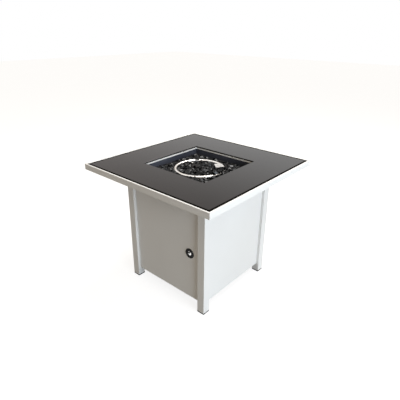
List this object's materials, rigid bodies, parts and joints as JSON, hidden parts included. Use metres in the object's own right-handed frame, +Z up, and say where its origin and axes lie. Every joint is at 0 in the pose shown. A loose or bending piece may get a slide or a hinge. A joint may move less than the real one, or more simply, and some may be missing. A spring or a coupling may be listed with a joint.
{
  "type": "gas fire pit table",
  "caption": "Square patio table with a framed black glass top round a sunken gas ring burner with lava rock, on a panelled base with a push-and-turn valve and a back door.",
  "frame": {"origin": "on the ground under the middle of the table", "axes": "+Z up, -Y out of the front panel with the control knob, +X to the right of a person facing that panel"},
  "size_m": [0.762, 0.762, 0.626],
  "materials": {
    "white_paint": "satin powder coat",
    "black_glass": "polished, toughened",
    "silicone": "matt",
    "pan_black": "semi-gloss high-heat paint",
    "stainless": "brushed",
    "zinc_steel": "zinc plated",
    "chrome": "bright",
    "black_plastic": "matt",
    "nylon": "matt",
    "magnet": "matt",
    "brass": "machined",
    "aluminium": "as cast or drawn",
    "cast_iron": "plated casting",
    "ceramic": "glazed",
    "lead_cover": "silicone cover",
    "copper": "drawn copper",
    "lava_rock": "rough"
  },
  "bodies": {
    "base": {"air_mixer": "zinc_steel", "back_header": "white_paint", "back_sill": "white_paint", "bearer_back": "white_paint", "bearer_front": "white_paint", "bearer_left": "white_paint", "bearer_right": "white_paint", "bearer_stubs": "white_paint", "burner_elbow": "cast_iron", "burner_locknuts": "zinc_steel", "burner_pan": "pan_black", "burner_posts": "stainless", "catch_body": "black_plastic", "catch_magnet": "magnet", "control_bezel": "black_plastic", "corner_braces": "white_paint", "cover_rocks": "lava_rock", "door_pivot_pins": "zinc_steel", "electrode_tip": "stainless", "feed_pipe": "aluminium", "flare_nuts": "brass", "foot_caps": "black_plastic", "frame_screws": "zinc_steel", "front_panel": "white_paint", "gas_valve_body": "aluminium", "glass_pads": "silicone", "glass_top": "black_glass", "igniter_electrode": "ceramic", "igniter_lead": "lead_cover", "inner_frame": "white_paint", "left_panel": "white_paint", "leg_back_left": "white_paint", "leg_back_right": "white_paint", "leg_front_left": "white_paint", "leg_front_right": "white_paint", "leg_screws": "zinc_steel", "orifice_spud": "brass", "pilot_hood": "stainless", "pipe_clips": "black_plastic", "right_panel": "white_paint", "ring_burner": "stainless", "rock_bed": "lava_rock", "rocks_in_ring": "lava_rock", "rocks_round_ring": "lava_rock", "thermocouple": "stainless", "thermocouple_lead": "copper", "top_rail_back": "white_paint", "top_rail_front": "white_paint", "top_rail_left": "white_paint", "top_rail_right": "white_paint", "valve_screws": "zinc_steel"},
    "door": {"back_door": "white_paint", "door_bushes": "nylon", "door_pull": "chrome", "door_pull_screw": "zinc_steel", "strike_plate": "zinc_steel"},
    "rotor": {"valve_rotor": "brass"},
    "knob": {"control_knob": "chrome", "knob_pointer": "black_plastic", "valve_stem": "brass"}
  },
  "joints": [
    {"name": "door_hinge", "type": "hinge", "parent": "base", "child": "door", "pos_m": [-0.192, 0.225, 0.31875], "axis": [0, 0, 1], "range_deg": [0, 95]},
    {"name": "knob_turn", "type": "hinge", "parent": "base", "child": "rotor", "pos_m": [0.1487, -0.233, 0.289], "axis": [0, -1, 0], "range_deg": [0, 180]},
    {"name": "knob_push", "type": "slide", "parent": "rotor", "child": "knob", "axis": [0, 1, 0], "range_m": [0, 0.004], "stiffness_N_per_m": 1000, "springref_m": -0.002}
  ]
}
